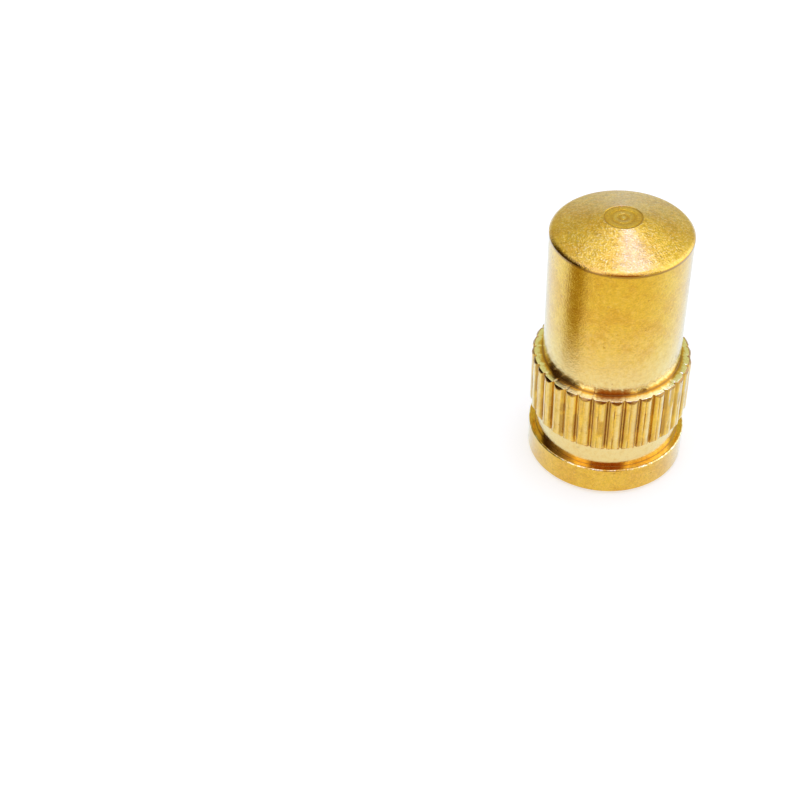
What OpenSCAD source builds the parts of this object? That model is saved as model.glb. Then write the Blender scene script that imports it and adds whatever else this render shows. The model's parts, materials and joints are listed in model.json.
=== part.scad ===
// Blind threaded insert: one piece of brass, turned, knurled and tapped.
// It stands on its mouth. The origin is the centre of the mouth face and +Z runs
// along the axis to the closed, coned end. Lengths are in millimetres.

/* [Body] */
// Length from the mouth face to the closed end
overall_length = 10.8; // [9.5:0.1:16]
// Diameter of the plain body
body_d = 5.15; // [4.9:0.05:5.3]
// Radius of the rounded edge between the body and the coned end
edge_round = 0.27; // [0.1:0.01:0.5]
// Rise of the coned end above the flat, in degrees
cone_angle = 17; // [5:0.5:28]
// Diameter of the faced flat at the tip of the cone
tip_d = 1.42; // [0.8:0.02:2.4]

/* [Knurled band] */
// Diameter over the crests of the knurl
knurl_d = 6.0; // [5.9:0.05:6.6]
// Length of the knurled band, end chamfers included
knurl_length = 2.42; // [1.2:0.02:3]
// Number of straight teeth round the band
knurl_teeth = 32; // [20:1:36]
// Depth of a groove below the crests
groove_depth = 0.17; // [0.12:0.01:0.24]
// Width of a groove at the crests
groove_mouth = 0.5; // [0.4:0.01:0.5]
// Width of the floor of a groove
groove_floor = 0.09; // [0.04:0.01:0.12]
// Chamfer on both ends of the band
knurl_chamfer = 0.08; // [0.04:0.01:0.14]
// Concave fillet between the top of the band and the body
foot_fillet = 0.06; // [0.03:0.01:0.2]

/* [Neck] */
// Diameter of the turned neck between the flange and the band
neck_d = 5.5; // [5:0.05:5.5]
// Length of the neck
neck_length = 1.04; // [0.5:0.02:2]
// Concave fillet between the flange and the neck
neck_fillet = 0.06; // [0.03:0.01:0.2]

/* [Flange] */
// Outer diameter of the flange
flange_d = 6.0; // [5.9:0.05:6.8]
// Length of the flange, from the mouth face to its top
flange_length = 1.24; // [0.6:0.02:2]
// Broken edge round the top of the flange
flange_edge = 0.05; // [0.02:0.01:0.08]
// Width of the outer chamfer at the mouth, measured along the face
mouth_chamfer_w = 0.25; // [0.1:0.01:0.35]
// Height of the outer chamfer at the mouth
mouth_chamfer_h = 0.15; // [0.05:0.01:0.4]

/* [Threaded bore] */
// Diameter of the bore at the crests of the thread, which is the tapping drill
bore_d = 3.3; // [2.9:0.05:3.4]
// Diameter of the countersink at the mouth face
countersink_d = 5.02; // [4:0.02:5.1]
// Full angle of the countersink, in degrees
countersink_angle = 82; // [60:1:120]
// Metal left on the axis between the drill point and the closed end
end_wall = 1.6; // [1:0.1:3]
// Full angle of the drill point, in degrees
drill_angle = 118; // [100:1:140]

/* [Hidden] */
$fn = 96;

brass = [0.87, 0.68, 0.24];
arc_steps = 8;      // straight pieces in each rounded corner of the outline
flank_steps = 4;    // straight pieces in each flank of a groove
past = 0.1;         // how far a cutter runs past the face that it cuts

body_r = body_d / 2;
knurl_r = knurl_d / 2;
neck_r = neck_d / 2;
flange_r = flange_d / 2;
tip_r = tip_d / 2;
bore_r = bore_d / 2;
countersink_r = countersink_d / 2;

knurl_low = flange_length + neck_length;
knurl_high = knurl_low + knurl_length;

// The cone and the body would meet in a sharp corner; the round edge touches both.
corner_z = overall_length - (body_r - tip_r) * tan(cone_angle);
round_low = corner_z - edge_round * tan((90 - cone_angle) / 2);

countersink_depth = (countersink_r - bore_r) / tan(countersink_angle / 2);
drill_point = bore_r / tan(drill_angle / 2);
bore_end = overall_length - end_wall - drill_point;

// Points along an arc, from one angle to another, both ends included
function arc(centre, r, from, to) =
    [for (i = [0 : arc_steps])
        let (a = from + (to - from) * i / arc_steps)
        centre + r * [cos(a), sin(a)]];

// Half the width of a groove at a share t of its depth, 0 at the crests and 1 at
// the floor. The power rounds the teeth: shallow crests and steep walls.
function groove_half_width(t) =
    (groove_floor + (groove_mouth - groove_floor) * pow(1 - t, 3.4)) / 2;

// Half of the turned outline, as [radius, height], from the mouth to the tip
function outline() = concat(
    [
        [0, 0],
        [flange_r - mouth_chamfer_w, 0],
        [flange_r, mouth_chamfer_h],
        [flange_r, flange_length - flange_edge],
        [flange_r - flange_edge, flange_length]
    ],
    arc([neck_r + neck_fillet, flange_length + neck_fillet], neck_fillet, 270, 180),
    [
        [neck_r, knurl_low],
        [knurl_r - knurl_chamfer, knurl_low],
        [knurl_r, knurl_low + knurl_chamfer],
        [knurl_r, knurl_high - knurl_chamfer],
        [knurl_r - knurl_chamfer, knurl_high]
    ],
    arc([body_r + foot_fillet, knurl_high + foot_fillet], foot_fillet, 270, 180),
    arc([body_r - edge_round, round_low], edge_round, 0, 90 - cone_angle),
    [[tip_r, overall_length], [0, overall_length]]
);

// The solid as it leaves the lathe, before knurling, drilling and tapping
module turned_blank() {
    rotate_extrude() polygon(outline());
}

// Section of one groove, pointing along +X, open past the crests
module groove_section() {
    flank = [for (i = [0 : flank_steps])
        let (t = pow(i / flank_steps, 2))
        [knurl_r - groove_depth * t, groove_half_width(t)]];
    mirrored = [for (i = [flank_steps : -1 : 0]) [flank[i][0], -flank[i][1]]];
    polygon(concat(
        [[knurl_r + past, groove_mouth / 2 + past]],
        flank,
        mirrored,
        [[knurl_r + past, -groove_mouth / 2 - past]]
    ));
}

// All the grooves of the straight knurl, cut from the neck to above the band
module knurl_grooves() {
    pitch_angle = 360 / knurl_teeth;
    translate([0, 0, knurl_low - past])
        linear_extrude(height = knurl_length + past + foot_fillet)
            for (i = [0 : knurl_teeth - 1])
                rotate((i + 0.5) * pitch_angle) groove_section();
}

// Countersunk, drilled bore; the thread is cut in its plain wall
module blind_bore() {
    slope = tan(countersink_angle / 2);
    rotate_extrude()
        polygon([
            [0, -past],
            [countersink_r + past * slope, -past],
            [bore_r, countersink_depth],
            [bore_r, bore_end],
            [0, bore_end + drill_point]
        ]);
}

module insert() {
    color(brass)
        difference() {
            turned_blank();
            knurl_grooves();
            blind_bore();
        }
}

insert();
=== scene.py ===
"""Blind threaded insert, turned from brass bar, knurled, drilled and tapped.

The operators build the insert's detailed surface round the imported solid, give it
its satin brass finish, and set the stage: a pale floor, soft studio light and the
camera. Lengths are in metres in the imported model's own frame, with the mouth face
on the floor and +Z along the axis to the closed, coned end.
"""

import json
import math
import random

import bpy
import numpy as np
from bpy.props import FloatProperty, FloatVectorProperty, IntProperty, PointerProperty
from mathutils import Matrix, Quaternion, Vector


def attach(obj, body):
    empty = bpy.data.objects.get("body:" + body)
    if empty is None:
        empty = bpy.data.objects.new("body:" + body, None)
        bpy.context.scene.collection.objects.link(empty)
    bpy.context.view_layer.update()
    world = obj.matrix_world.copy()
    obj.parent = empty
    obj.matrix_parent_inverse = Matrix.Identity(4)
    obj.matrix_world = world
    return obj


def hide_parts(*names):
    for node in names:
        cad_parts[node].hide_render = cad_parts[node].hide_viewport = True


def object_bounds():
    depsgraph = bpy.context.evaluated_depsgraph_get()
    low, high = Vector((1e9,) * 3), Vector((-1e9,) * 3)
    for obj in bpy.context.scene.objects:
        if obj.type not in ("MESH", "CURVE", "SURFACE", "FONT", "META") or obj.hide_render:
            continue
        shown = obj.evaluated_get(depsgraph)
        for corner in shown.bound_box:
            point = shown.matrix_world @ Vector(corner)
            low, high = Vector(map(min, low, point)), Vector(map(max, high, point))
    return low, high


bl_info = {
    "name": "Threaded insert",
    "version": (1, 0, 0),
    "blender": (4, 5, 0),
    "location": "View3D > Sidebar > Insert",
    "description": "Builds a blind, knurled brass insert and the stage it stands on",
    "category": "Object",
}

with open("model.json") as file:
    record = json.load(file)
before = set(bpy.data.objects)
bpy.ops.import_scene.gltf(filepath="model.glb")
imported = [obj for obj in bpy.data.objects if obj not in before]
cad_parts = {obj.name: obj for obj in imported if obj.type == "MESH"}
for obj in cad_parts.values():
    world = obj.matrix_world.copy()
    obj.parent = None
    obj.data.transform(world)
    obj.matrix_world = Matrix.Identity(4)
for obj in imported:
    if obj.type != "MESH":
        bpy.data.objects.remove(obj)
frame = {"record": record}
CAD_LOW, CAD_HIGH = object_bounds()
MOUNTS = {mount["name"]: mount for mount in frame["record"]["mounts"]}

MM = 0.001
FULL_TURN = 2 * math.pi
NODE = "insert"
WHITE = (1.0, 1.0, 1.0, 1.0)

# The body's rounded edge stops this many degrees short of the body's own direction,
# which leaves a fine crease, dark over about this height from its own mirroring
# and from the painted shade laid along it
RIM_STOP = 33.0
CREASE = 0.10 * MM

# Length of the narrow faces beside a corner, which keep the stretch next to it flat
SUPPORT = 0.012 * MM

# The shoulder on top of the knurled band falls this far to the burr, over this width
SHOULDER_FALL = 0.030 * MM
SHOULDER_WIDTH = 0.17 * MM

# The burr round the shoulder: degrees turned from its side to its top, and its painted highlight
BURR_STEPS = ((50, 0.6), (62, 1.0), (76, 1.0), (82, 1.0))


# ---------------------------------------------------------------- settings


def length_property(name, description, default_mm):
    """A length in metres, with its default written in millimetres."""
    return FloatProperty(
        name=name,
        description=description,
        default=default_mm * MM,
        min=0.0,
        unit="LENGTH",
        precision=6,
    )


def colour_property(name, description, default):
    """A colour as red, green and blue, on the linear scale from 0 to 1."""
    return FloatVectorProperty(
        name=name,
        description=description,
        subtype="COLOR",
        size=3,
        min=0.0,
        max=1.0,
        default=default,
    )


class InsertSizes(bpy.types.PropertyGroup):
    """Sizes of the turned, knurled and tapped piece"""

    length: length_property(
        "Length", "From the mouth face to the closed end", (CAD_HIGH.z - CAD_LOW.z) / MM
    )
    body_radius: length_property(
        "Body radius", "Radius of the plain body", MOUNTS["pilot"]["dims"]["r_mm"]
    )
    edge_round: length_property("Edge round", "Round between the body and the cone", 0.29)
    cone_angle: FloatProperty(
        name="Cone angle",
        description="Rise of the coned end above the flat",
        default=math.radians(17.4),
        subtype="ANGLE",
    )
    tip_radius: length_property("Tip radius", "Radius of the faced flat at the tip", 0.71)

    knurl_radius: length_property(
        "Knurl radius", "Radius over the crests of the knurl", CAD_HIGH.x / MM
    )
    knurl_length: length_property("Knurl length", "Length of the knurled band", 2.42)
    knurl_teeth: IntProperty(
        name="Knurl teeth",
        description="Number of straight teeth round the band",
        default=32,
        min=12,
        max=60,
    )
    groove_depth: length_property("Groove depth", "Depth of a groove below the crests", 0.17)
    groove_mouth: length_property("Groove mouth", "Width of a groove at the crests", 0.5)
    groove_floor: length_property("Groove floor", "Width of the floor of a groove", 0.09)
    knurl_chamfer: length_property("Knurl chamfer", "Chamfer on the ends of the teeth", 0.10)
    burr: length_property("Burr", "Round of the rubbed edge on top of the band", 0.05)
    foot_fillet: length_property("Foot fillet", "Fillet from the band up to the body", 0.010)

    neck_radius: length_property("Neck radius", "Radius of the turned neck", 2.75)
    neck_length: length_property("Neck length", "Length of the neck", 1.04)
    neck_fillet: length_property("Neck fillet", "Fillet from the flange to the neck", 0.010)

    flange_radius: length_property("Flange radius", "Radius of the flange", 3.0)
    flange_length: length_property("Flange length", "From the mouth to its top", 1.24)
    flange_edge: length_property("Flange edge", "Broken edge at the top", 0.065)
    mouth_chamfer_w: length_property("Mouth chamfer", "Its width along the face", 0.25)
    mouth_chamfer_h: length_property("Mouth chamfer height", "Its height", 0.15)

    bore_radius: length_property(
        "Bore radius",
        "Radius at the crests of the thread",
        MOUNTS["thread"]["dims"]["r_mm"],
    )
    thread_radius: length_property("Thread radius", "Radius at the thread's roots", 2.0)
    thread_pitch: length_property("Thread pitch", "Pitch of the thread", 0.7)
    thread_length: length_property("Thread length", "Full thread, from the mouth", 7.0)
    countersink_radius: length_property("Countersink radius", "At the mouth face", 2.51)
    countersink_angle: FloatProperty(
        name="Countersink angle",
        description="Full angle of the countersink",
        default=math.radians(82),
        subtype="ANGLE",
    )
    end_wall: length_property("End wall", "Metal between the drill point and the end", 1.6)
    drill_angle: FloatProperty(
        name="Drill angle",
        description="Full angle of the drill point",
        default=math.radians(118),
        subtype="ANGLE",
    )


class BrassFinish(bpy.types.PropertyGroup):
    """Colours and surface of the brass"""

    light_tone: colour_property("Light tone", "The clean brass", (0.815, 0.495, 0.026))
    dark_tone: colour_property("Dark tone", "Faint stains in the brass", (0.745, 0.405, 0.014))
    # Random burnished patches, and painted highlights on the neck, lower body, shoulder, teeth and
    # tip
    pale_and_highlight_tone: colour_property("Pale tone", "Burnished brass", (0.87, 0.67, 0.27))
    # Painted highlight on the burr, the flange's edge and the cone's glints, and rubbed patches at
    # random
    highlight_and_wear_tone: colour_property("Worn tone", "Edges rubbed bright", (0.97, 0.90, 0.50))
    # Brown specks, stains and other darkening, and painted shade and dark reflection
    dirt_and_shade_tone: colour_property("Dirt tone", "Brown dirt and specks", (0.36, 0.165, 0.006))
    roughness: FloatProperty(
        name="Roughness",
        description="Mean roughness of the satin surface",
        default=0.12,
        min=0.0,
        max=1.0,
    )
    line_spacing: length_property("Line spacing", "Mean spacing of the tool marks", 0.045)
    speck_spacing: length_property("Speck spacing", "Mean distance between specks", 0.36)


class StudioSetup(bpy.types.PropertyGroup):
    """Camera, floor and light"""

    camera_distance: length_property("Camera distance", "Camera to the mouth's centre", 60.28)
    camera_height: FloatProperty(
        name="Camera height",
        description="Height of the camera above the floor, as an angle at the mouth",
        default=math.radians(43.66),
        subtype="ANGLE",
    )
    camera_turn: FloatProperty(
        name="Turn",
        description="Turn of the camera, floor and light round the insert's axis",
        default=math.radians(4.2),
        subtype="ANGLE",
    )
    camera_pan: FloatProperty(
        name="Pan",
        description="Turn of the camera to the left of the insert",
        default=math.radians(10.63),
        subtype="ANGLE",
    )
    camera_tilt: FloatProperty(
        name="Tilt",
        description="Tilt of the camera below the horizon",
        default=math.radians(42.36),
        subtype="ANGLE",
    )
    camera_roll: FloatProperty(
        name="Roll",
        description="Roll of the camera about its own axis",
        default=math.radians(-2.07),
        subtype="ANGLE",
    )
    lens: FloatProperty(
        name="Lens",
        description="Focal length, in millimetres on a 36 mm sensor",
        default=67.43,
        min=1.0,
    )
    floor_radius: length_property("Floor radius", "Radius of the floor", 450.0)


def sizes():
    return bpy.context.scene.insert_sizes


def finish_settings():
    return bpy.context.scene.insert_finish


def studio():
    return bpy.context.scene.insert_studio


# ---------------------------------------------------------------- the surface


def arc_points(centre, radius, start, end, steps):
    """Points (radius, height) along an arc of the outline, angles in degrees."""
    angles = np.radians(np.linspace(start, end, steps + 1))
    return [(centre[0] + radius * math.cos(a), centre[1] + radius * math.sin(a)) for a in angles]


def straight_points(start, end, steps):
    """Points from start to end along a straight stretch, the first one left out."""
    shares = np.linspace(0, 1, steps + 1)[1:]
    return [(start[0] + (end[0] - start[0]) * t, start[1] + (end[1] - start[1]) * t) for t in shares]


class RingSurface:
    """A surface built from rings of points round the insert's axis.

    Rings are bridged in the order in which the outline runs: out of the bore,
    across the mouth and up the outside, so that every face looks out of the metal.
    Each point has a tone: how pale the brass is, how strong its painted highlight, and
    how grainy and streaky it is. Pale is partly a painted highlight; a pale value below 0
    darkens the brass, as stains and other darkening and as painted shade and dark reflection.
    """

    PLAIN = (0.0, 0.0, 0.4, 0.0)

    def __init__(self):
        self.points = []
        self.tones = []
        self.faces = []

    def point(self, radius, angle, height, tone=PLAIN):
        self.points.append((radius * math.cos(angle), radius * math.sin(angle), height))
        self.tones.append(tone)
        return len(self.points) - 1

    def ring(self, radii, angles, height, tone=PLAIN):
        """One ring; radii and tone are one value, or one for each angle."""
        radii = np.broadcast_to(radii, np.shape(angles))
        tones = tone if isinstance(tone, list) else [tone] * len(angles)
        return [self.point(r, a, height, c) for r, a, c in zip(radii, angles, tones)]

    def face(self, *corners):
        """A face without its repeated corners, left out where too few remain."""
        kept = [c for i, c in enumerate(corners) if c != corners[i - 1]]
        if len(set(kept)) == len(kept) > 2:
            self.faces.append(kept)

    def bridge(self, first, second):
        """Faces between two rings of equal count, or where one has twice the other's."""
        few = min(len(first), len(second))
        many = max(len(first), len(second))
        for j in range(few):
            k = (j + 1) % few
            low, mid, high = 2 * j, 2 * j + 1, (2 * j + 2) % many
            if len(first) == len(second):
                self.face(first[j], first[k], second[k], second[j])
            elif len(first) > len(second):
                self.face(first[low], first[mid], second[j])
                self.face(first[mid], second[k], second[j])
                self.face(first[mid], first[high], second[k])
            else:
                self.face(first[j], second[mid], second[low])
                self.face(first[j], first[k], second[mid])
                self.face(first[k], second[high], second[mid])

    def extend(self, ring, radii, angles, height, tone=PLAIN):
        """A further ring, bridged to the last one."""
        following = self.ring(radii, angles, height, tone)
        self.bridge(ring, following)
        return following

    def cap(self, ring, centre, towards_centre):
        """A fan from a ring to one point; towards_centre says which way the outline runs."""
        for j, corner in enumerate(ring):
            following = ring[(j + 1) % len(ring)]
            if towards_centre:
                self.face(corner, following, centre)
            else:
                self.face(centre, following, corner)


def even_angles(count):
    return np.arange(count) * FULL_TURN / count


def halve(values):
    """Every second value."""
    return values[::2]


# ---------------------------------------------------------------- knurl


class Knurl:
    """The straight knurl: where its columns of points lie and how high each stands.

    A rolled tooth isn't a clean prism. The metal rises on both sides of each groove
    and leaves a thin seam along the crest, and here and there it's bruised flat.
    """

    # Distances from the middle of a groove, as shares of the pitch: its floor and
    # right wall, the crest with its seam, and the left wall of the next groove
    COLUMNS = (
        0.0, 0.078, 0.112, 0.150, 0.235, 0.380, 0.402, 0.432,
        0.458, 0.540, 0.650, 0.750, 0.815, 0.850, 0.888, 0.922,
    )
    # Place of the seam, as a share of the pitch
    SEAM = 0.417
    # Power that rounds the crests and steepens the walls of the grooves
    ROUNDING = 3.4
    # How far down a tooth the painted dark reflection at its upper end reaches, at its middle
    PAINTED_DARK_REFLECTION = 0.15 * MM
    STAINS = 55
    BRUISES = 20

    def __init__(self, s, seed=11):
        draw = random.Random(seed)
        self.s = s
        self.teeth = s.knurl_teeth
        self.pitch = FULL_TURN * s.knurl_radius / self.teeth
        self.offsets = [share * self.pitch for share in self.COLUMNS]
        self.low = s.flange_length + s.neck_length
        self.high = self.low + s.knurl_length
        self.tooth = [
            {
                "seam": draw.uniform(0.0, 1.0),
                "lean": draw.uniform(-0.020, 0.020) * MM,
                "width": draw.uniform(0.84, 1.12),
                "depth": draw.uniform(0.85, 1.05),
                "shift": draw.uniform(-0.020, 0.020) * MM,
                # How strong the painted highlight stripe on this tooth's flank is
                "pale": draw.uniform(0.10, 0.90),
                "darkening": draw.uniform(0.20, 0.80),
                "waves": [draw.uniform(0, FULL_TURN) for _ in range(4)],
            }
            for _ in range(self.teeth)
        ]
        self.bruises = self.draw_bruises(draw)
        self.stains = self.draw_stains(draw)

    def draw_stains(self, draw):
        """Brown stretches in some of the grooves: groove, lowest and highest point."""
        made = []
        for _ in range(self.STAINS):
            low = draw.uniform(self.low, self.high - 0.3 * MM)
            made.append((draw.randrange(self.teeth), low, low + draw.uniform(0.25, 0.9) * MM))
        return made

    def draw_bruises(self, draw):
        """Short flats on some of the crests: tooth, side, lowest and highest point, depth."""
        made = []
        for _ in range(self.BRUISES):
            low = draw.uniform(self.low, self.high - 0.7 * MM)
            made.append(
                {
                    "tooth": draw.randrange(self.teeth),
                    "side": draw.choice((0.36, 0.5, 0.64)),
                    "low": low,
                    "high": low + draw.uniform(0.45, 0.9) * MM,
                    "depth": draw.uniform(0.03, 0.07) * MM,
                }
            )
        return made

    def angles(self):
        """Angles of all the columns; a crest lies on +X and grooves lie half a pitch off."""
        first = -self.pitch / 2
        return np.array(
            [
                (first + i * self.pitch + offset) / self.s.knurl_radius
                for i in range(self.teeth)
                for offset in self.offsets
            ]
        )

    def wave(self, tooth, height, first):
        """A slow uneven run along the tooth, about -1 to 1."""
        along = (height - self.low) / MM
        a, b = tooth["waves"][first], tooth["waves"][first + 1]
        return 0.6 * math.sin(4.1 * along + a) + 0.4 * math.sin(9.7 * along + b)

    def groove(self, distance, tooth, height):
        """Depth of the groove at a distance from its middle line."""
        s = self.s
        width = tooth["width"] * (1 + 0.08 * self.wave(tooth, height, 0))
        floor = s.groove_floor / 2
        mouth = s.groove_mouth / 2 * width
        depth = s.groove_depth * tooth["depth"]
        if distance <= floor:
            return depth
        if distance >= mouth:
            return 0.0
        return depth * (1 - ((distance - floor) / (mouth - floor)) ** (1 / self.ROUNDING))

    def bruise(self, tooth_number, across, height):
        """Depth of the bruise at a share of the pitch, 0 where there is none."""
        depth = 0.0
        for bruise in self.bruises:
            if bruise["tooth"] == tooth_number and bruise["low"] < height < bruise["high"]:
                reach = max(0.0, 1 - (abs(across - bruise["side"]) / 0.2) ** 4)
                depth = max(depth, bruise["depth"] * reach)
        return depth

    def drop(self, tooth_number, offset, height):
        """How far the tooth's surface lies below the crest radius."""
        tooth = self.tooth[tooth_number]
        following = self.tooth[(tooth_number + 1) % self.teeth]
        left = abs(offset - tooth["shift"])
        right = abs(self.pitch + following["shift"] - offset)
        across = offset / self.pitch
        groove = max(self.groove(left, tooth, height), self.groove(right, following, height))
        seam = 0.0
        if abs(across - self.SEAM) < 0.02:
            seam = 0.03 * MM * self.seam(tooth, height)
        lean = tooth["lean"] * (across - 0.5) * 2 + abs(tooth["lean"])
        return max(groove + seam, lean, self.bruise(tooth_number, across, height))

    def seam(self, tooth, height):
        """How far the seam along a crest is open, 0 to 1; it comes and goes."""
        return min(1.0, max(0.0, tooth["seam"] + 0.6 * self.wave(tooth, height, 2)))

    def radii(self, height):
        """Radius of the tooth surface at each column, at one height."""
        return np.array(
            [
                self.s.knurl_radius - self.drop(i, offset, height)
                for i in range(self.teeth)
                for offset in self.offsets
            ]
        )

    def tone(self, tooth_number, share, height):
        """How pale the metal is at a share of the pitch, or below 0 how dark.

        A painted dark reflection hangs from the upper end of each tooth, where its chamfer
        faces the dark shade round the camera. The seam, the bruises and the walls of the
        grooves are darker, some grooves have brown stains, and a pale stripe on one flank is
        a painted highlight.
        """
        tooth = self.tooth[tooth_number]
        bulge = 1 - ((share - 0.5) / 0.42) ** 2
        # Painted dark reflection at the upper end of each tooth
        if height > self.high - self.PAINTED_DARK_REFLECTION * bulge:
            return -1.0
        if abs(share - self.SEAM) < 0.02:
            return -0.9 * self.seam(tooth, height)
        if self.bruise(tooth_number, share, height) > 0:
            return -0.45
        distance = min(share, 1 - share)
        reach = 0.16 if share < 0.5 else 0.21
        if distance < reach:
            # Darker along the walls of the grooves, and brown where a groove is stained
            groove = (tooth_number + round(share)) % self.teeth
            wall = ramp(distance, 0.02, 0.08) * (1 - ramp(distance, 0.11, reach))
            stained = any(g == groove and low < height < high for g, low, high in self.stains)
            darkening = self.tooth[groove]["darkening"] * (1 + 0.5 * self.wave(self.tooth[groove], height, 0))
            return -max(darkening * (0.3 + 0.7 * wall), 0.75 if stained else 0.0)
        if share < 0.36:
            return -0.06
        if share < 0.39:
            return 0.6 * self.seam(tooth, height)
        # Painted highlight: a pale stripe along one flank of the tooth
        painted_highlight_stripe = max(0.0, 1 - (abs(share - 0.68) / 0.17) ** 3)
        return painted_highlight_stripe * tooth["pale"] * (0.85 + 0.25 * self.wave(tooth, height, 1))

    def tones(self, height, painted_highlight):
        """Tone at each column, at one height."""
        return [
            (self.tone(i, share, height), painted_highlight, 0.3, 1.0)
            for i in range(self.teeth)
            for share in self.COLUMNS
        ]


def flat_points(start, end, steps=1):
    """A straight stretch with extra points close to both ends, which keep it flat."""
    length = math.dist(start, end)
    share = min(0.25, SUPPORT / length)
    near = (start[0] + (end[0] - start[0]) * share, start[1] + (end[1] - start[1]) * share)
    far = (end[0] - (end[0] - start[0]) * share, end[1] - (end[1] - start[1]) * share)
    return [near, *straight_points(near, far, steps), end]


def outside_below_band(s):
    """The mouth chamfer, the flange and the neck, as (radius, height)."""
    top = s.flange_length
    edge = s.flange_edge
    points = [(s.flange_radius - s.mouth_chamfer_w, 0.0)]
    points += straight_points(points[-1], (s.flange_radius, s.mouth_chamfer_h), 2)
    points += flat_points(points[-1], (s.flange_radius, top - edge), 2)
    points += arc_points((s.flange_radius - edge, top - edge), edge, 0, 90, 4)[1:]
    points += flat_points(points[-1], (s.neck_radius + s.neck_fillet, top))
    points += arc_points(
        (s.neck_radius + s.neck_fillet, top + s.neck_fillet), s.neck_fillet, 270, 180, 5
    )[1:]
    points += flat_points(points[-1], (s.neck_radius, top + s.neck_length), 5)
    return points


def band_outline(s, knurl):
    """The knurled band before its grooves, as (radius, height, strength of the painted edge
    highlight).
    """
    end = s.knurl_chamfer
    inner = s.knurl_radius - end
    low, high = knurl.low, knurl.high
    points = [(inner - 0.08 * MM, low, 0.0), (inner, low, 0.0)]
    # A faint painted highlight at the lower ends of the teeth
    points += [(s.knurl_radius, low + end, 0.2)]
    sides = straight_points(points[-1][:2], (s.knurl_radius, high - 0.20 * MM), 15)
    sides += straight_points(sides[-1], (s.knurl_radius, high - end), 4)
    points += [(r, z, 0.0) for r, z in sides]
    rise = s.burr * (1 - math.sin(math.radians(45)))
    chamfer = straight_points(sides[-1], (inner + rise, high - rise), 4)
    points += [(r, z, 0.0) for r, z in chamfer]
    return points


def rim_end(s):
    """Where the cone would meet the body in a sharp corner, and where the round ends.

    The round starts along the cone and stops a little short of the body's direction,
    which leaves the fine crease that runs round the top of the body.
    """
    corner = s.length - (s.body_radius - s.tip_radius) * math.tan(s.cone_angle)
    stop = math.radians(RIM_STOP)
    reach = s.edge_round * math.cos(stop)
    centre = corner + reach * math.tan(s.cone_angle) - s.edge_round / math.cos(s.cone_angle)
    return (s.body_radius - reach, centre), centre + s.edge_round * math.sin(stop)


def body_outline(s, knurl):
    """The foot fillet, the plain body and its rounded edge, as (radius, height)."""
    cone = math.degrees(s.cone_angle)
    centre, rim_low = rim_end(s)
    fillet = s.foot_fillet
    points = [(s.body_radius + fillet + SUPPORT, knurl.high)]
    points += arc_points((s.body_radius + fillet, knurl.high + fillet), fillet, 270, 180, 5)
    points += flat_points(points[-1], (s.body_radius, knurl.high + 0.4 * MM), 3)
    points += straight_points(points[-1], (s.body_radius, knurl.high + 2.2 * MM), 4)
    points += straight_points(points[-1], (s.body_radius, rim_low - CREASE), 3)
    points += [(s.body_radius, rim_low - 0.5 * CREASE)]
    points += arc_points(centre, s.edge_round, RIM_STOP, 90 - cone, 14)
    return points


# Rings of the faced tip: share of its radius, width, height in millimetres, and how
# pale, or below 0 how dark: painted highlight on the ridges and painted shade in the dips
TIP_RINGS = (
    (0.95, 0.060, -0.010, -0.50),
    (0.78, 0.070, 0.004, 0.12),
    (0.58, 0.070, -0.007, -0.26),
    (0.40, 0.075, 0.008, 0.36),
    (0.22, 0.065, -0.009, -0.34),
    (0.00, 0.090, 0.010, 0.80),
)


def tip_rings(share, column):
    """The sum of the tip's rings at a share of its radius."""
    return sum(ring[column] * math.exp(-(((share - ring[0]) / ring[1]) ** 2)) for ring in TIP_RINGS)


def tip_height(s, radius):
    """Height of the faced tip: shallow turned rings and the small centre mark."""
    share = radius / s.tip_radius
    return s.length + (tip_rings(share, 2) - 0.02 * (1 - share)) * MM


def ramp(value, low, high):
    """0 up to low, 1 from high on, and straight between them."""
    return min(1.0, max(0.0, (value - low) / (high - low)))


def outside_tone(s, knurl, radius, height):
    """Tone of the turned faces, from the mouth chamfer to the rounded edge.

    Painted shade darkens the crease below the rim and the corners at the foot of the body
    and of the neck. The neck and the lower body are paler, a painted highlight where they
    mirror the bright floor close by, and the flange's upper edge has a painted highlight.
    """
    _, rim_low = rim_end(s)
    if height > rim_low - 0.8 * CREASE:
        # Painted shade along the crease below the rim
        crease = 1 - ramp(abs(height - rim_low + 0.25 * CREASE), 0.3 * CREASE, 0.6 * CREASE)
        top = ramp(radius, s.body_radius, s.body_radius - 0.2 * MM)
        return (0.05 - 1.05 * crease, 0.0, 0.4 + 0.6 * top, 0.0)
    if height > knurl.high - 0.01 * MM:
        # Painted highlight: the lower body grows paler towards the foot
        foot = 1 - ramp(height, knurl.high + 0.2 * MM, knurl.high + 3.4 * MM)
        # Painted shade in the fillet at the foot of the body
        corner = height < knurl.high + 1.2 * s.foot_fillet
        grain = 0.12 + 0.28 * ramp(height, knurl.high + 0.2 * MM, knurl.high + 0.5 * MM)
        return (-1.0 if corner else 0.9 * foot**1.7, 0.0, grain, 0.0)
    if height > s.flange_length - 0.01 * MM and radius < s.flange_radius - s.flange_edge:
        above = height - s.flange_length
        # Painted shade in the fillet at the foot of the neck
        corner = above < 1.2 * s.neck_fillet and radius < s.neck_radius + 2 * s.neck_fillet
        # Painted highlight: the neck grows paler above its fillet
        pale = 0.95 * ramp(above, s.neck_fillet, 0.2 * MM)
        return (-1.0 if corner else pale, 0.0, 0.3 * ramp(above, 0.2 * MM, 0.5 * MM), 0.0)
    # Painted highlight along the flange's upper edge
    edge = abs(height - s.flange_length) < s.flange_edge and radius > 0.98 * s.flange_radius
    return (0.0, 0.5 if edge else 0.0, 0.4, 0.0)


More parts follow.
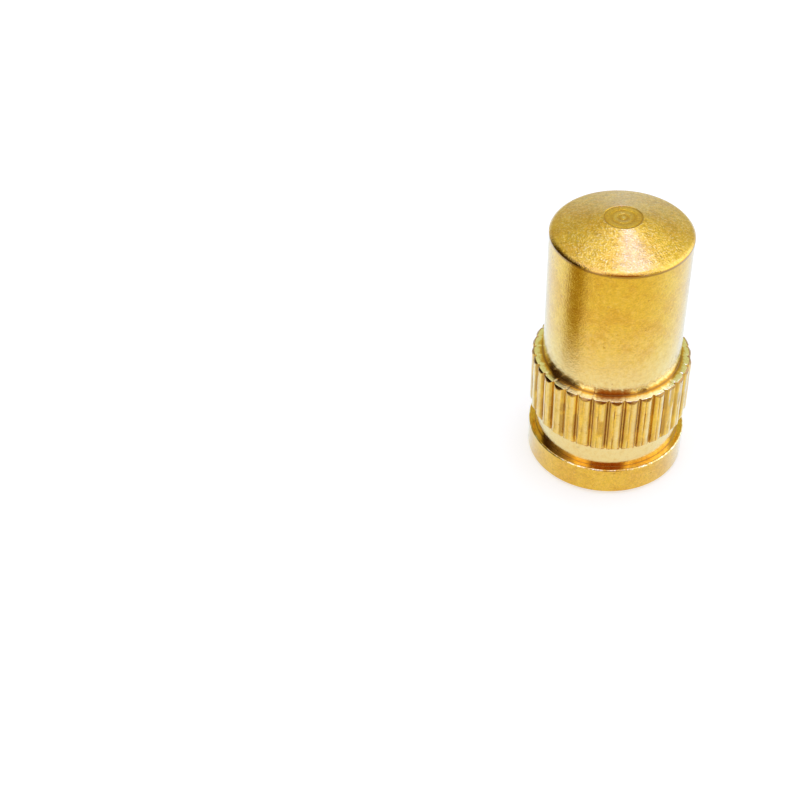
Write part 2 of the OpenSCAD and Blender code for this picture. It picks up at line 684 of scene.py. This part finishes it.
def build_outside(surface, s, knurl, mouth_ring):
    """Everything from the mouth ring's outer edge to the tip."""
    angles = knurl.angles()
    ring = mouth_ring
    for radius, height in outside_below_band(s):
        tone = outside_tone(s, knurl, radius, height)
        ring = surface.extend(ring, radius, angles, height, tone)
    for radius, height, painted_highlight in band_outline(s, knurl):
        radii = np.minimum(radius, knurl.radii(height))
        ring = surface.extend(ring, radii, angles, height, knurl.tones(height, painted_highlight))
    ring = build_shoulder(surface, s, knurl, ring, angles)
    for radius, height in body_outline(s, knurl):
        tone = outside_tone(s, knurl, radius, height)
        ring = surface.extend(ring, radius, angles, height, tone)
    build_cone(surface, s, ring, angles)


def build_shoulder(surface, s, knurl, ring, angles):
    """The burr along the band's scalloped upper edge, and the gentle slope inside it."""
    limit = knurl.radii(knurl.high)
    edge = np.minimum(s.knurl_radius - s.knurl_chamfer, limit)
    centre = edge - s.burr * math.tan(math.radians(22.5))
    for turned, painted_highlight in BURR_STEPS:
        angle = math.radians(turned)
        radii = np.minimum(centre + s.burr * math.cos(angle), limit)
        height = knurl.high - SHOULDER_FALL - s.burr * (1 - math.sin(angle))
        # The burr carries the painted highlight, strongest over its top
        ring = surface.extend(ring, radii, angles, height, (0.0, painted_highlight, 0.5, 0.0))
    inner = centre - SHOULDER_WIDTH
    # The slope inside the burr is paler and carries some painted highlight
    return surface.extend(ring, inner, angles, knurl.high, (0.5, 0.45, 0.12, 0.0))


def build_cone(surface, s, ring, angles):
    """The coned end and its faced tip, with fewer columns towards the axis."""
    start = math.hypot(*surface.points[ring[0]][:2])
    for step, radius in enumerate(np.linspace(start, s.tip_radius, 9)[1:]):
        height = s.length - (radius - s.tip_radius) * math.tan(s.cone_angle)
        if step in (1, 4):
            angles = halve(angles)
        ring = surface.extend(ring, radius, angles, height, (0.0, 0.0, 1.0, 0.0))
    for step, radius in enumerate(np.linspace(s.tip_radius, 0, 33)[1:-1]):
        if step in (16, 25):
            angles = halve(angles)
        tone = (tip_rings(radius / s.tip_radius, 3), 0.0, 0.5, 0.0)
        ring = surface.extend(ring, radius, angles, tip_height(s, radius), tone)
    centre = surface.point(0, 0, tip_height(s, 0), (tip_rings(0, 3), 0.0, 0.5, 0.0))
    surface.cap(ring, centre, towards_centre=True)


# ---------------------------------------------------------------- bore and thread


class Thread:
    """The right-handed thread in the bore, on a grid that climbs with the helix."""

    # Faces along one pitch, and round the bore
    STEPS = 18
    COLUMNS = 128
    # Length over which the thread fades out
    RUN_OUT = 0.9 * MM

    def __init__(self, s):
        self.s = s
        self.slope = math.tan(s.countersink_angle / 2)
        self.start = (s.countersink_radius - s.thread_radius) / self.slope - 0.06 * MM
        drill_point = s.bore_radius / math.tan(s.drill_angle / 2)
        self.end = s.length - s.end_wall - drill_point
        self.tip = self.end + drill_point

    def cone_radius(self, height):
        """Radius of the countersink at a height above the mouth."""
        return self.s.countersink_radius - self.slope * height

    def profile(self, phase):
        """Radius of the thread at a share of one pitch: crest, flank, root, flank."""
        s = self.s
        depth = s.thread_radius - s.bore_radius
        distance = abs(phase % 1.0 - 0.5)
        root, crest = 0.065, 0.36
        share = min(1.0, max(0.0, (crest - distance) / (crest - root)))
        return s.bore_radius + depth * share

    def radius(self, phase, height):
        """Radius of the bore's wall; the thread fades out behind its full length."""
        s = self.s
        fade = min(1.0, max(0.0, (s.thread_length + self.RUN_OUT - height) / self.RUN_OUT))
        cut = s.bore_radius + (self.profile(phase) - s.bore_radius) * fade
        return max(cut, self.cone_radius(height), s.bore_radius)

    def build(self, surface, low_ring, high_ring):
        """Faces from the ring at the end of the bore down to the ring at its start."""
        s = self.s
        made = {}
        turns = math.ceil((self.end - self.start) / s.thread_pitch) + 1

        def corner(step, column):
            if column == self.COLUMNS:
                step, column = step + self.STEPS, 0
            climb = step / self.STEPS + column / self.COLUMNS
            height = self.start + s.thread_pitch * climb
            if height <= self.start:
                return low_ring[column]
            if height >= self.end:
                return high_ring[column]
            key = (step, column)
            if key not in made:
                radius = self.radius(step / self.STEPS, height)
                made[key] = surface.point(radius, column * FULL_TURN / self.COLUMNS, height)
            return made[key]

        for step in range(-self.STEPS, turns * self.STEPS):
            for column in range(self.COLUMNS):
                surface.face(
                    corner(step + 1, column),
                    corner(step + 1, column + 1),
                    corner(step, column + 1),
                    corner(step, column),
                )


def build_bore(surface, s):
    """The drill's cone, the threaded wall and the countersink; gives the mouth's ring."""
    thread = Thread(s)
    angles = even_angles(thread.COLUMNS)
    tip = surface.point(0, 0, thread.tip)
    ring = None
    for share in (0.03, 0.1, 0.25, 0.45, 0.7, 1.0):
        height = thread.tip + (thread.end - thread.tip) * share
        following = surface.ring(s.bore_radius * share, angles, height)
        if ring is None:
            surface.cap(following, tip, towards_centre=False)
        else:
            surface.bridge(ring, following)
        ring = following
    start_ring = surface.ring(thread.cone_radius(thread.start), angles, thread.start)
    thread.build(surface, start_ring, ring)
    ring = start_ring
    for height in np.linspace(thread.start, 0.02 * MM, 6)[1:]:
        ring = surface.extend(ring, thread.cone_radius(height), angles, height)
    return ring


def build_mouth(surface, s, bore_ring):
    """The flat mouth ring, with more columns towards the outside, where the knurl is."""
    inner = s.countersink_radius
    outer = s.flange_radius - s.mouth_chamfer_w
    ring = bore_ring
    for share, count in ((0.05, 256), (0.5, 512)):
        ring = surface.extend(ring, inner + (outer - inner) * share, even_angles(count), 0.0)
    return ring


def make_object(name, surface):
    """A smooth-shaded mesh object, with an edge kept sharp where the metal has one."""
    mesh = bpy.data.meshes.new(name)
    mesh.from_pydata(surface.points, [], surface.faces)
    tone = mesh.attributes.new("surface_tone", "FLOAT_COLOR", "POINT")
    tone.data.foreach_set("color", np.array(surface.tones).ravel())
    mesh.validate()
    mesh.shade_smooth()
    mesh.set_sharp_from_angle(angle=math.radians(34))
    made = bpy.data.objects.new(name, mesh)
    bpy.context.scene.collection.objects.link(made)
    return made


# ---------------------------------------------------------------- materials


class Nodes:
    """Short calls to add and join the nodes of one material or world."""

    def __init__(self, tree):
        self.tree = tree
        tree.nodes.clear()

    def add(self, kind, settings=None, **inputs):
        """A new node; an input's name has underscores where its label has spaces."""
        node = self.tree.nodes.new(kind)
        for name, value in (settings or {}).items():
            setattr(node, name, value)
        for name, value in inputs.items():
            self.put(node, name.replace("_", " "), value)
        return node

    def put(self, node, name, value):
        """Link an output to a socket, or set the socket's own value."""
        socket = node.inputs[name]
        if isinstance(value, bpy.types.NodeSocket):
            self.tree.links.new(value, socket)
        else:
            socket.default_value = value

    def math(self, operation, first, second=0.0):
        node = self.add("ShaderNodeMath", {"operation": operation})
        self.put(node, 0, first)
        self.put(node, 1, second)
        return node.outputs[0]

    def noise(self, vector, scale, detail=2.0, roughness=0.5):
        node = self.add(
            "ShaderNodeTexNoise",
            Vector=vector,
            Scale=scale,
            Detail=detail,
            Roughness=roughness,
        )
        return node.outputs[0]

    def mix_colour(self, share, first, second):
        node = self.add("ShaderNodeMix", {"data_type": "RGBA"})
        self.put(node, 0, share)
        self.put(node, 6, first)
        self.put(node, 7, second)
        return node.outputs[2]

    def rise(self, value, low, high):
        """0 up to low, 1 from high on, and a smooth step between them."""
        node = self.add("ShaderNodeMapRange", {"interpolation_type": "SMOOTHSTEP"})
        self.put(node, 0, value)
        self.put(node, 1, low)
        self.put(node, 2, high)
        return node.outputs[0]

    def fall(self, value, low, high):
        """1 up to low, 0 from high on, and a smooth step between them."""
        return self.math("SUBTRACT", 1.0, self.rise(value, low, high))

    def product(self, *values):
        result = values[0]
        for value in values[1:]:
            result = self.math("MULTIPLY", result, value)
        return result

    def total(self, *values):
        result = values[0]
        for value in values[1:]:
            result = self.math("ADD", result, value)
        return result

    def centred(self, value, scale):
        """A noise value moved from round 0.5 to round 0, and scaled."""
        return self.math("MULTIPLY", self.math("SUBTRACT", value, 0.5), scale)


def rgba(colour):
    return (*colour, 1.0)


def brass_material(b):
    """Satin brass: stains, brown specks, burnished places and the tool's fine rings, with painted
    highlights, glints, shade and dark reflection brought in by the tone.
    """
    material = bpy.data.materials.new("satin_brass")
    material.use_nodes = True
    n = Nodes(material.node_tree)

    place = n.add("ShaderNodeTexCoord").outputs["Object"]
    scaled = n.add("ShaderNodeVectorMath", {"operation": "SCALE"}, Vector=place, Scale=1 / MM)
    in_mm = scaled.outputs[0]
    x, y, z = n.add("ShaderNodeSeparateXYZ", Vector=in_mm).outputs
    radius = n.math("SQRT", n.total(n.product(x, x), n.product(y, y)))

    tone_at = n.add("ShaderNodeAttribute", {"attribute_name": "surface_tone"})
    channels = n.add("ShaderNodeSeparateColor", Color=tone_at.outputs["Color"])
    pale, painted_highlight, grainy = channels.outputs
    streaky = tone_at.outputs["Alpha"]

    lines_at = n.add("ShaderNodeCombineXYZ")
    n.put(lines_at, 0, n.math("MULTIPLY", x, 0.55))
    n.put(lines_at, 1, n.math("MULTIPLY", y, 0.55))
    n.put(lines_at, 2, n.math("MULTIPLY", n.total(z, radius), MM / b.line_spacing))
    lines = n.noise(lines_at.outputs[0], 1.0, 3.0, 0.6)

    stains = n.noise(in_mm, 1.3, 5.0, 0.62)
    coarse = n.noise(in_mm, 5.5, 3.0, 0.65)
    fine = n.noise(in_mm, 15.0, 2.0, 0.6)
    stain_share = n.rise(n.total(stains, n.centred(fine, 0.5)), 0.34, 0.62)
    upright = n.add("ShaderNodeVectorMath", {"operation": "MULTIPLY"}, Vector=in_mm)
    upright.inputs[1].default_value = (11.0, 11.0, 0.9)
    streaks = n.noise(upright.outputs[0], 1.0, 3.0, 0.6)

    cells = n.add("ShaderNodeTexVoronoi", Vector=in_mm, Scale=MM / b.speck_spacing)
    cell_draw = n.add("ShaderNodeSeparateColor", Color=cells.outputs["Color"])
    reach = n.math("MULTIPLY", cell_draw.outputs[0], 0.17)
    ragged = n.total(cells.outputs["Distance"], n.centred(fine, 0.16))
    specks = n.product(
        n.fall(n.math("SUBTRACT", ragged, reach), -0.02, 0.035),
        n.rise(cell_draw.outputs[1], 0.35, 0.75),
    )

    tone = n.mix_colour(stain_share, rgba(b.dark_tone), rgba(b.light_tone))
    mottle = n.total(
        1.0,
        n.centred(coarse, 0.30),
        n.centred(fine, 0.35),
        n.product(n.math("POWER", grainy, 4.0), n.centred(coarse, 0.7)),
        n.product(streaky, n.centred(streaks, 0.9)),
    )
    tone = n.add("ShaderNodeHueSaturation", Color=tone, Value=mottle).outputs[0]
    # Paler: random burnished patches, and the painted highlights carried by the tone
    burnish_and_highlight = n.total(n.product(pale, n.total(1.0, n.centred(coarse, 0.8))), n.centred(coarse, 0.7))
    tone = n.mix_colour(n.math("MAXIMUM", burnish_and_highlight, 0.0), tone, rgba(b.pale_and_highlight_tone))
    # Painted glints: white sparkles on the grainy cone
    painted_glints = n.product(n.math("POWER", grainy, 6.0), n.rise(fine, 0.52, 0.66), 0.36)
    # Painted edge highlights and glints, and rubbed patches at random
    rubbed = n.math("MAXIMUM", n.rise(n.total(painted_highlight, n.centred(coarse, 1.2)), 0.35, 0.7), painted_glints)
    tone = n.mix_colour(rubbed, tone, rgba(b.highlight_and_wear_tone))
    tone = n.mix_colour(n.math("MULTIPLY", specks, 0.28), tone, rgba(b.dirt_and_shade_tone))
    # Darker where the tone is below 0: stains and other darkening, painted shade and dark reflection
    dirt_and_shade = n.math("MULTIPLY", n.math("MAXIMUM", n.math("MULTIPLY", pale, -1.0), 0.0), 0.9)
    tone = n.mix_colour(dirt_and_shade, tone, rgba(b.dirt_and_shade_tone))

    roughness = n.total(
        b.roughness,
        n.centred(stains, 0.10),
        n.centred(coarse, 0.12),
        n.math("MULTIPLY", specks, 0.12),
        n.math("MULTIPLY", grainy, 0.22),
    )

    height = n.total(
        n.math("MULTIPLY", lines, 0.0008 * MM),
        n.product(grainy, coarse, 0.0175 * MM),
        n.product(grainy, fine, 0.0240 * MM),
        n.product(streaky, streaks, 0.0060 * MM),
        n.math("MULTIPLY", specks, -0.0015 * MM),
    )
    bump = n.add("ShaderNodeBump", Strength=1.0, Distance=1.0, Height=height)

    shader = n.add(
        "ShaderNodeBsdfPrincipled",
        Base_Color=tone,
        Metallic=1.0,
        Roughness=roughness,
        Normal=bump.outputs[0],
        Coat_Weight=1.0,
        Coat_Roughness=0.16,
        Coat_IOR=1.5,
    )
    n.add("ShaderNodeOutputMaterial", Surface=shader.outputs[0])
    return material


def floor_material():
    """A white floor that keeps the shadow; from below it can be seen through.

    In the metal it shows painted light: brighter close to the insert, yellower further
    out, bluish at the sides and back, and one soft brown strip to the left, a painted
    shadow and reflection as from a dark card.
    """
    material = bpy.data.materials.new("white_floor")
    material.use_nodes = True
    n = Nodes(material.node_tree)
    path = n.add("ShaderNodeLightPath")
    camera = path.outputs["Is Camera Ray"]
    mirrored = n.total(path.outputs["Is Glossy Ray"], path.outputs["Is Transmission Ray"])

    place = n.add("ShaderNodeTexCoord").outputs["Object"]
    x, y, _ = n.add("ShaderNodeSeparateXYZ", Vector=place).outputs
    turned = n.math("ARCTAN2", x, n.math("MULTIPLY", y, -1.0))
    away = n.math("ABSOLUTE", n.total(turned, math.radians(62)))
    distance = n.math("SQRT", n.total(n.product(x, x), n.product(y, y)))
    # Painted shadow and reflection: a soft brown strip to the left, seen only by the metal
    painted_dark_strip = n.product(
        n.fall(away, math.radians(6), math.radians(24)),
        n.rise(distance, 8 * MM, 11 * MM),
        n.fall(distance, 30 * MM, 60 * MM),
    )
    # Painted light seen only by the metal: brighter near the insert, yellower further out, bluish at
    # the sides and back
    aside = n.math("ABSOLUTE", turned)
    far = n.rise(distance, 10.8 * MM, 14.2 * MM)
    front = n.mix_colour(far, (1.06, 1.07, 1.03, 1.0), (0.91, 0.86, 0.54, 1.0))
    side = n.rise(aside, math.radians(35), math.radians(95))
    shown = n.mix_colour(side, front, (1.05, 1.18, 1.28, 1.0))
    back = n.rise(aside, math.radians(105), math.radians(145))
    shown = n.mix_colour(back, shown, (0.97, 1.06, 1.10, 1.0))
    shown = n.mix_colour(painted_dark_strip, shown, (0.40, 0.28, 0.04, 1.0))
    shown = n.mix_colour(mirrored, WHITE, shown)
    grey = n.add("ShaderNodeHueSaturation", Color=shown, Value=0.62).outputs[0]
    matt = n.add("ShaderNodeBsdfDiffuse", Color=grey)
    strength = n.total(n.math("MULTIPLY", camera, 0.48), n.math("MULTIPLY", mirrored, 0.35))
    glow = n.add("ShaderNodeEmission", Color=shown, Strength=strength)
    lit = n.add("ShaderNodeAddShader")
    n.put(lit, 0, matt.outputs[0])
    n.put(lit, 1, glow.outputs[0])
    clear = n.add("ShaderNodeBsdfTransparent")
    behind = n.add("ShaderNodeNewGeometry").outputs["Backfacing"]
    either = n.add("ShaderNodeMixShader")
    n.put(either, 0, behind)
    n.put(either, 1, lit.outputs[0])
    n.put(either, 2, clear.outputs[0])
    n.add("ShaderNodeOutputMaterial", Surface=either.outputs[0])
    return material


# ---------------------------------------------------------------- stage


def make_floor(st, s):
    """A round floor, open only under the mouth, where the insert covers it."""
    surface = RingSurface()
    angles = even_angles(96)
    depth = -0.01 * MM
    ring = surface.ring(st.floor_radius, angles, depth)
    inner = s.flange_radius - s.mouth_chamfer_w - 0.1 * MM
    for radius in (60 * MM, 15 * MM, inner):
        ring = surface.extend(ring, radius, angles, depth)
    made = make_object("floor", surface)
    made.data.materials.append(floor_material())
    made.rotation_euler.z = st.camera_turn


# Panels round the insert: azimuth of the middle, seen from above and counted from
# the camera's side towards the right, half the width, lower and upper edge, softness
# of the edges, all in degrees, and the panel's light, 1 for white
PANELS = (
    # Wall behind the insert, and the foot of that wall
    (180, 75, 10, 55, 8, (0.63, 0.61, 0.32)),
    (180, 75, -8, 20, 7, (0.63, 0.66, 0.52)),
    # Dark flag on the left, and a pale panel at the left front
    (-84, 38, -12, 56, 5, (0.04, 0.018, 0.006)),
    (-34, 12, -6, 60, 4, (1.6, 1.7, 2.6)),
    # Pale panel on the right, and a dark bar in it
    (86, 46, -6, 62, 6, (1.6, 1.75, 2.4)),
    (58, 9, 24, 62, 2, (0.1, 0.04, 0.01)),
    # Shade round the camera
    (9, 29, 5, 72, 4, (0.38, 0.13, 0.02)),
)

# Light of the overhead box at its rear, at its near side and in its bright spot
BOX_REAR = (1.15, 1.15, 1.0, 1.0)
BOX_NEAR = (1.4, 1.45, 2.3, 1.0)
BOX_SPOT = (2.6, 3.4, 9.5, 1.0)


def panel_share(n, azimuth, elevation, middle, half, low, high, soft):
    """1 on a panel, 0 away from it."""
    turned = n.add("ShaderNodeMath", {"operation": "WRAP"})
    n.put(turned, 0, n.math("SUBTRACT", azimuth, middle))
    n.put(turned, 1, 180.0)
    n.put(turned, 2, -180.0)
    return n.product(
        n.fall(n.math("ABSOLUTE", turned.outputs[0]), half - soft, half + soft),
        n.rise(elevation, low - soft, low + soft),
        n.fall(elevation, high - soft, high + soft),
    )


def make_world(turn):
    """White to the camera and to matt surfaces; to the metal, a tent with panels."""
    world = bpy.data.worlds.new("studio_tent")
    bpy.context.scene.world = world
    world.use_nodes = True
    n = Nodes(world.node_tree)
    direction = n.add("ShaderNodeTexCoord").outputs["Generated"]
    turned = n.add(
        "ShaderNodeVectorRotate", {"rotation_type": "Z_AXIS"}, Vector=direction, Angle=-turn
    )
    x, y, z = n.add("ShaderNodeSeparateXYZ", Vector=turned.outputs[0]).outputs
    degrees = 180 / math.pi
    azimuth = n.math("MULTIPLY", n.math("ARCTAN2", x, n.math("MULTIPLY", y, -1.0)), degrees)
    elevation = n.math("MULTIPLY", n.math("ARCSINE", z), degrees)

    light = WHITE
    for middle, half, low, high, soft, panel_light in PANELS:
        share = panel_share(n, azimuth, elevation, middle, half, low, high, soft)
        light = n.mix_colour(share, light, rgba(panel_light))

    above = n.math("MAXIMUM", z, 0.05)
    across, along = n.math("DIVIDE", x, above), n.math("DIVIDE", y, above)
    near = n.fall(along, 0.05, 0.30)
    wider = n.math("MULTIPLY", near, 0.45)
    overhead = n.product(
        n.rise(n.total(across, wider), -0.62, -0.2),
        n.fall(n.math("SUBTRACT", across, wider), 0.50, 0.62),
        n.rise(along, -0.9, -0.5),
        n.fall(along, 0.50, 0.66),
        n.rise(z, 0.1, 0.2),
    )
    box = n.mix_colour(near, BOX_REAR, BOX_NEAR)
    spot = n.product(
        n.fall(n.math("ABSOLUTE", n.math("SUBTRACT", across, 0.15)), 0.05, 0.23),
        n.fall(n.math("ABSOLUTE", n.math("SUBTRACT", along, 0.24)), 0.12, 0.42),
    )
    box = n.mix_colour(spot, box, BOX_SPOT)
    light = n.mix_colour(overhead, light, box)

    path = n.add("ShaderNodeLightPath").outputs
    plain = n.math("MAXIMUM", path["Is Camera Ray"], path["Is Diffuse Ray"])
    light = n.mix_colour(plain, light, WHITE)
    background = n.add("ShaderNodeBackground", Color=light, Strength=1.0)
    n.add("ShaderNodeOutputWorld", Surface=background.outputs[0])


def make_camera(st):
    """The camera, placed by its height, turn and distance, and aimed past the insert."""
    data = bpy.data.cameras.new("camera")
    data.lens = st.lens
    data.sensor_width = 36.0
    data.clip_start, data.clip_end = 0.001, 10.0
    made = bpy.data.objects.new("camera", data)
    turn = Quaternion((0.0, 0.0, 1.0), st.camera_turn)
    made.location = turn @ Vector(
        (
            0.0,
            -st.camera_distance * math.cos(st.camera_height),
            st.camera_distance * math.sin(st.camera_height),
        )
    )
    forward = Vector(
        (
            -math.sin(st.camera_pan) * math.cos(st.camera_tilt),
            math.cos(st.camera_pan) * math.cos(st.camera_tilt),
            -math.sin(st.camera_tilt),
        )
    )
    made.rotation_mode = "QUATERNION"
    made.rotation_quaternion = (
        turn
        @ forward.to_track_quat("-Z", "Y")
        @ Quaternion((0.0, 0.0, 1.0), st.camera_roll)
    )
    bpy.context.scene.collection.objects.link(made)
    bpy.context.scene.camera = made


# ---------------------------------------------------------------- operators


class BuildInsert(bpy.types.Operator):
    """Build the insert's turned, knurled and threaded surface in satin brass"""

    bl_idname = "insert.build_insert"
    bl_label = "Build insert"
    bl_options = {"REGISTER", "UNDO"}

    def execute(self, context):
        s = sizes()
        surface = RingSurface()
        bore_ring = build_bore(surface, s)
        mouth_ring = build_mouth(surface, s, bore_ring)
        build_outside(surface, s, Knurl(s), mouth_ring)
        made = make_object("turned_insert", surface)
        made.data.materials.append(brass_material(finish_settings()))
        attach(made, "root")
        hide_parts(NODE)
        return {"FINISHED"}


class BuildStage(bpy.types.Operator):
    """Set the floor, the soft light and the camera"""

    bl_idname = "insert.build_stage"
    bl_label = "Build stage"
    bl_options = {"REGISTER", "UNDO"}

    def execute(self, context):
        st = studio()
        make_floor(st, sizes())
        make_world(st.camera_turn)
        make_camera(st)
        context.scene.view_settings.view_transform = "Standard"
        return {"FINISHED"}


class InsertPanel(bpy.types.Panel):
    """Sizes, finish and stage of the insert"""

    bl_idname = "VIEW3D_PT_insert"
    bl_label = "Threaded insert"
    bl_space_type = "VIEW_3D"
    bl_region_type = "UI"
    bl_category = "Insert"

    def draw(self, context):
        layout = self.layout
        scene = context.scene
        for title, group in (
            ("Sizes", scene.insert_sizes),
            ("Finish", scene.insert_finish),
            ("Studio", scene.insert_studio),
        ):
            box = layout.box()
            box.label(text=title)
            for name in group.__annotations__:
                box.prop(group, name)
        layout.operator(BuildInsert.bl_idname)
        layout.operator(BuildStage.bl_idname)


CLASSES = (InsertSizes, BrassFinish, StudioSetup, BuildInsert, BuildStage, InsertPanel)


def register():
    for cls in CLASSES:
        bpy.utils.register_class(cls)
    bpy.types.Scene.insert_sizes = PointerProperty(type=InsertSizes)
    bpy.types.Scene.insert_finish = PointerProperty(type=BrassFinish)
    bpy.types.Scene.insert_studio = PointerProperty(type=StudioSetup)


def unregister():
    del bpy.types.Scene.insert_studio
    del bpy.types.Scene.insert_finish
    del bpy.types.Scene.insert_sizes
    for cls in reversed(CLASSES):
        bpy.utils.unregister_class(cls)


def main():
    register()
    bpy.ops.insert.build_insert()
    bpy.ops.insert.build_stage()


if __name__ == "__main__":
    main()
